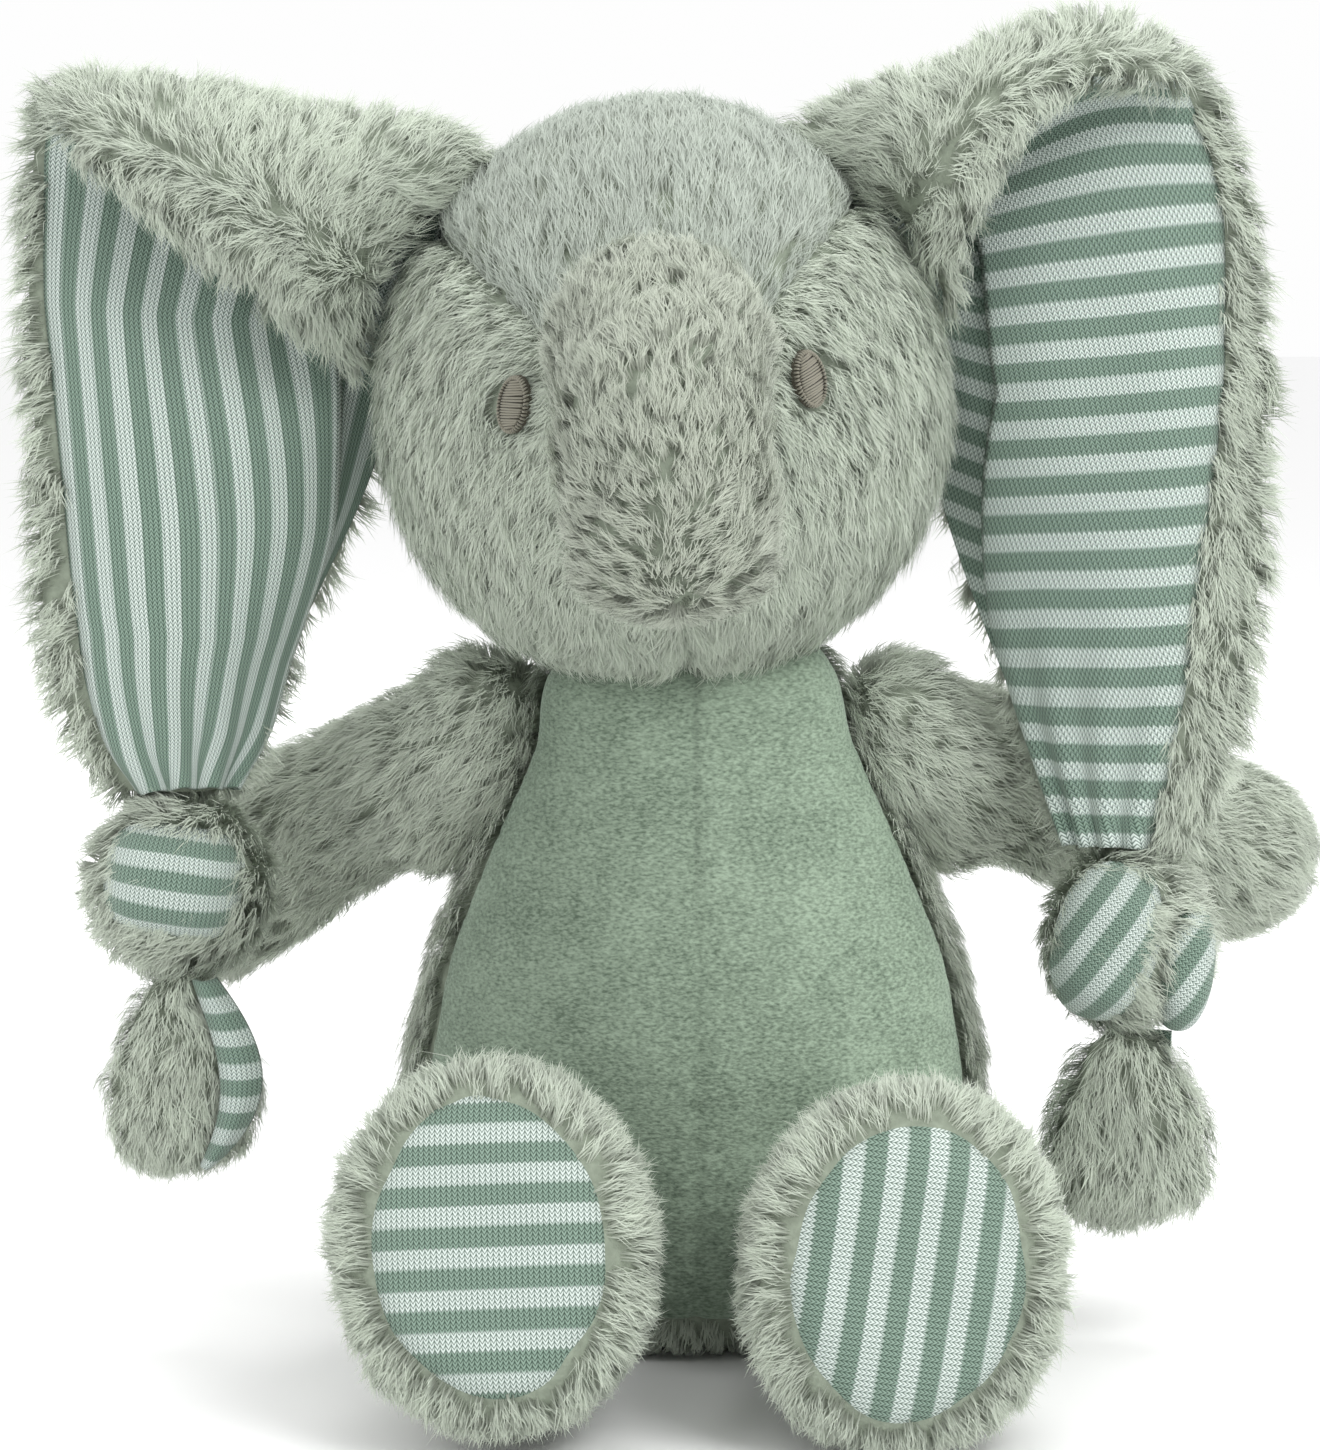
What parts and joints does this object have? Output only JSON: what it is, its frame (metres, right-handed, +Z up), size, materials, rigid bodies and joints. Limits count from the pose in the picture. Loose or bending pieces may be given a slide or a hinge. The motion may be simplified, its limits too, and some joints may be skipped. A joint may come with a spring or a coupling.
{
  "type": "stuffed elephant",
  "caption": "Seated plush elephant with knotted striped ears, a velour belly, striped foot soles and embroidered eyes.",
  "frame": {"origin": "centre of the flat seat, on the surface that the toy sits on", "axes": "+Z up, -Y the way the elephant faces, +X its own left side"},
  "size_m": [0.276, 0.1902, 0.2754],
  "materials": {
    "plush": "long pile plush, sage grey-green",
    "velour": "short pile velour, muted green",
    "knit": "jersey knit with green and white stripes",
    "thread": "satin stitch embroidery, taupe",
    "filling": "polyester fibre filling",
    "label": "woven satin ribbon, blank"
  },
  "bodies": {
    "torso": {"torso_filling": "filling", "seat_pellet_bag": "filling", "belly_panel_left": "velour", "belly_panel_right": "velour", "back_panel_left": "plush", "back_panel_right": "plush", "seat_panel": "plush", "care_label": "label"},
    "head": {"head_filling": "filling", "forehead_gusset": "plush", "face_panel_left": "plush", "face_panel_right": "plush", "nape_panel_left": "plush", "nape_panel_right": "plush", "eye_left": "thread", "eye_right": "thread"},
    "trunk": {"trunk_panel_left": "plush", "trunk_panel_right": "plush", "trunk_filling": "filling"},
    "ear_left": {"ear_back_left": "plush", "ear_lining_left": "knit", "ear_knot_roll_left": "plush", "ear_knot_band_left": "knit"},
    "ear_tip_left": {"ear_tip_plush_left": "plush", "ear_tip_lining_left": "knit"},
    "arm_left": {"arm_front_left": "plush", "arm_rear_left": "plush", "arm_filling_left": "filling"},
    "leg_left": {"leg_top_left": "plush", "leg_under_left": "plush", "foot_sole_left": "knit", "leg_filling_left": "filling"},
    "ear_right": {"ear_back_right": "plush", "ear_lining_right": "knit", "ear_knot_roll_right": "plush", "ear_knot_band_right": "knit"},
    "ear_tip_right": {"ear_tip_plush_right": "plush", "ear_tip_lining_right": "knit"},
    "arm_right": {"arm_front_right": "plush", "arm_rear_right": "plush", "arm_filling_right": "filling"},
    "leg_right": {"leg_top_right": "plush", "leg_under_right": "plush", "foot_sole_right": "knit", "leg_filling_right": "filling"}
  },
  "joints": [
    {"name": "head_nod", "type": "hinge", "parent": "torso", "child": "head", "pos_m": [-0.00289, -0.011, 0.15438], "axis": [1, 0, 0], "range_deg": [-10, 8], "stiffness_Nm_per_rad": 0.6},
    {"name": "trunk_bend", "type": "hinge", "parent": "head", "child": "trunk", "pos_m": [-0.00746, -0.08158, 0.20663], "axis": [0.9962, 0, 0.0872], "range_deg": [-50, 25], "stiffness_Nm_per_rad": 0.06},
    {"name": "ear_flap_left", "type": "hinge", "parent": "head", "child": "ear_left", "pos_m": [0.041, -0.012, 0.2374], "axis": [0, 0, -1], "range_deg": [-5, 25], "stiffness_Nm_per_rad": 0.08},
    {"name": "ear_tip_swing_left", "type": "hinge", "parent": "ear_left", "child": "ear_tip_left", "pos_m": [0.0905, -0.028, 0.0687], "axis": [1, 0, 0], "range_deg": [-30, 30]},
    {"name": "arm_raise_left", "type": "hinge", "parent": "torso", "child": "arm_left", "pos_m": [0.05601, 0.00821, 0.12023], "axis": [0, -1, 0], "range_deg": [-25, 30], "stiffness_Nm_per_rad": 0.15},
    {"name": "leg_raise_left", "type": "hinge", "parent": "torso", "child": "leg_left", "pos_m": [0.03668, -0.06242, 0.02739], "axis": [-1, 0, 0], "range_deg": [-40, 20], "stiffness_Nm_per_rad": 0.2},
    {"name": "ear_flap_right", "type": "hinge", "parent": "head", "child": "ear_right", "pos_m": [-0.065, -0.012, 0.2279], "axis": [0, 0, 1], "range_deg": [-10, 30], "stiffness_Nm_per_rad": 0.08},
    {"name": "ear_tip_swing_right", "type": "hinge", "parent": "ear_right", "child": "ear_tip_right", "pos_m": [-0.1085, -0.02925, 0.0807], "axis": [1, 0, 0], "range_deg": [-30, 30]},
    {"name": "arm_raise_right", "type": "hinge", "parent": "torso", "child": "arm_right", "pos_m": [-0.05601, 0.00821, 0.12023], "axis": [0, 1, 0], "range_deg": [-25, 30], "stiffness_Nm_per_rad": 0.15},
    {"name": "leg_raise_right", "type": "hinge", "parent": "torso", "child": "leg_right", "pos_m": [-0.03668, -0.06242, 0.02739], "axis": [-1, 0, 0], "range_deg": [-40, 20], "stiffness_Nm_per_rad": 0.2}
  ]
}
